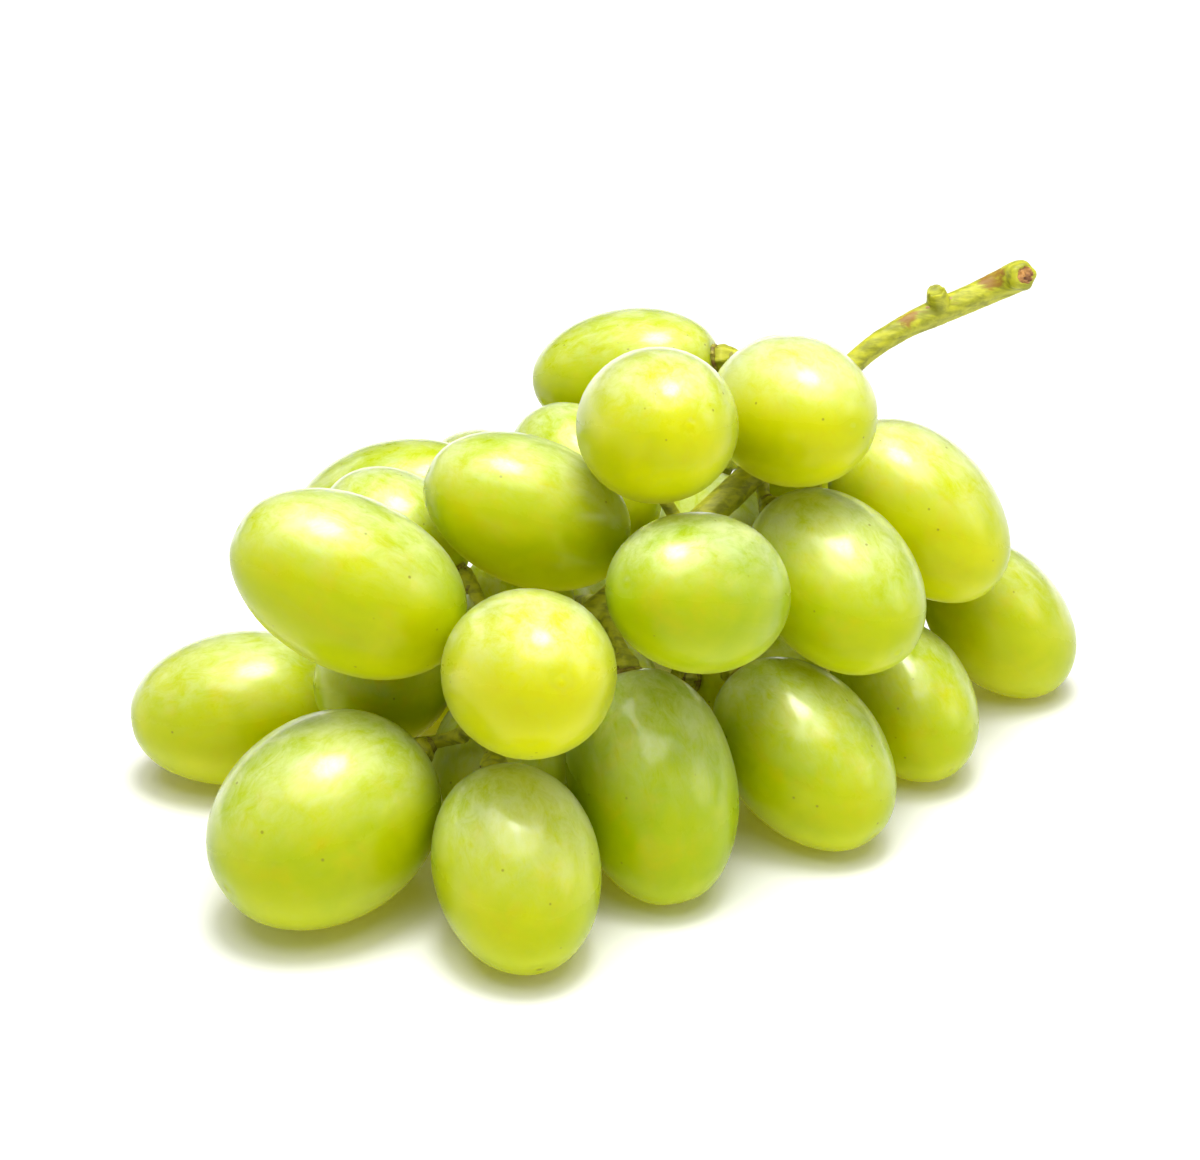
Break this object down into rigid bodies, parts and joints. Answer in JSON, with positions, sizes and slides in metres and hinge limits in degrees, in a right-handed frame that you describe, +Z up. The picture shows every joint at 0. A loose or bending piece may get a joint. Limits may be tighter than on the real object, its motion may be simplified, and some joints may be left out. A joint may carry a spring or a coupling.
{
  "type": "bunch of grapes",
  "caption": "Bunch of green table grapes as cut, lying on its side: oval berries close round a branched stem, with the bare cut stalk standing clear above them.",
  "frame": {"origin": "middle of the bunch's box, on the surface that it lies on", "axes": "+X along the bunch from its loose tip side towards the cut stalk, +Z up, and the view of the picture looks along +Y and down"},
  "size_m": [0.1108, 0.0884, 0.0589],
  "materials": {
    "grape_skin": "taut translucent yellow-green fruit skin with a thin, patchy pale bloom, satin to soft gloss",
    "green_stem": "yellow-green to olive plant stem with rust-brown patches, half woody, matt"
  },
  "bodies": {
    "root": {"grape_low_back_1": "grape_skin", "grape_low_back_2": "grape_skin", "grape_low_back_3": "grape_skin", "grape_low_back_4": "grape_skin", "grape_low_inner_1": "grape_skin", "grape_low_inner_2": "grape_skin", "grape_low_large": "grape_skin", "grape_low_left": "grape_skin", "grape_low_long": "grape_skin", "grape_low_middle_1": "grape_skin", "grape_low_middle_2": "grape_skin", "grape_low_right_1": "grape_skin", "grape_low_right_2": "grape_skin", "grape_low_right_3": "grape_skin", "grape_low_tip": "grape_skin", "grape_mid_back_1": "grape_skin", "grape_mid_back_2": "grape_skin", "grape_mid_back_3": "grape_skin", "grape_mid_front": "grape_skin", "grape_mid_inner_1": "grape_skin", "grape_mid_inner_2": "grape_skin", "grape_mid_left_1": "grape_skin", "grape_mid_left_2": "grape_skin", "grape_mid_middle": "grape_skin", "grape_mid_right_1": "grape_skin", "grape_mid_right_2": "grape_skin", "grape_mid_tip": "grape_skin", "grape_top_back": "grape_skin", "grape_top_front": "grape_skin", "grape_top_inner": "grape_skin", "grape_top_left": "grape_skin", "grape_top_right": "grape_skin", "grape_top_shoulder": "grape_skin", "stem": "green_stem"}
  },
  "joints": []
}
